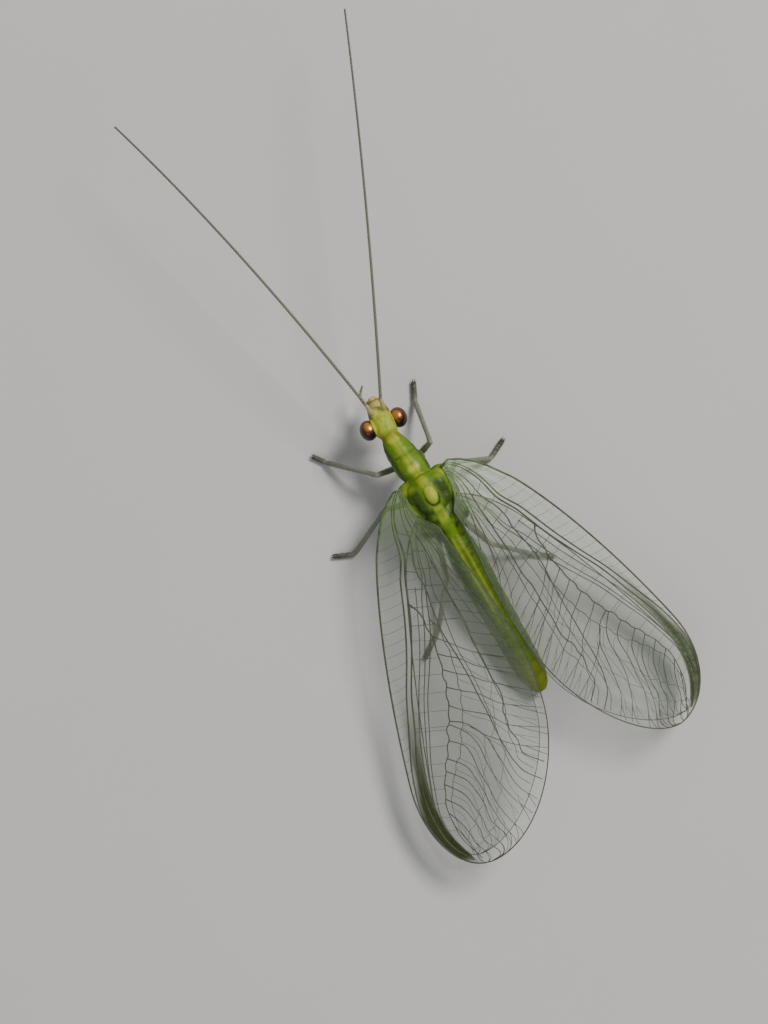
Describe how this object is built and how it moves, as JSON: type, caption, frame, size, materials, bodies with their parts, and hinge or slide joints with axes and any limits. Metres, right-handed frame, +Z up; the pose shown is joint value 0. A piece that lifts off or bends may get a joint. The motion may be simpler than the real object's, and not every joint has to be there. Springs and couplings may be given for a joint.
{
  "type": "green lacewing",
  "caption": "Life-size still model of a green lacewing standing on its feet, with long feelers swept forward and net-veined wings half open over the abdomen.",
  "frame": {"origin": "on the floor, at the middle of the whole insect's length and width, feelers and wings included", "axes": "+Y from head to tail, +X to the insect's left, +Z up"},
  "size_m": [0.0126, 0.03, 0.0039],
  "materials": {
    "body_green": "satin",
    "head_pale_green": "satin",
    "eye_copper": "gloss",
    "limb_grey_green": "matte",
    "feeler_brown": "matte",
    "wing_membrane": "clear"
  },
  "bodies": {
    "root": {"head": "head_pale_green", "eye_left": "eye_copper", "eye_right": "eye_copper", "antenna_left": "feeler_brown", "antenna_right": "feeler_brown", "palp_left": "feeler_brown", "palp_right": "feeler_brown", "pronotum": "body_green", "mesothorax": "body_green", "metathorax": "body_green", "abdomen": "body_green", "leg_front_left_femur": "limb_grey_green", "leg_front_left_tibia": "limb_grey_green", "leg_front_left_tarsus": "limb_grey_green", "leg_front_right_femur": "limb_grey_green", "leg_front_right_tibia": "limb_grey_green", "leg_front_right_tarsus": "limb_grey_green", "leg_middle_left_femur": "limb_grey_green", "leg_middle_left_tibia": "limb_grey_green", "leg_middle_left_tarsus": "limb_grey_green", "leg_middle_right_femur": "limb_grey_green", "leg_middle_right_tibia": "limb_grey_green", "leg_middle_right_tarsus": "limb_grey_green", "leg_hind_left_femur": "limb_grey_green", "leg_hind_left_tibia": "limb_grey_green", "leg_hind_left_tarsus": "limb_grey_green", "leg_hind_right_femur": "limb_grey_green", "leg_hind_right_tibia": "limb_grey_green", "leg_hind_right_tarsus": "limb_grey_green", "forewing_left": "wing_membrane", "forewing_right": "wing_membrane", "hindwing_left": "wing_membrane", "hindwing_right": "wing_membrane"}
  },
  "joints": []
}
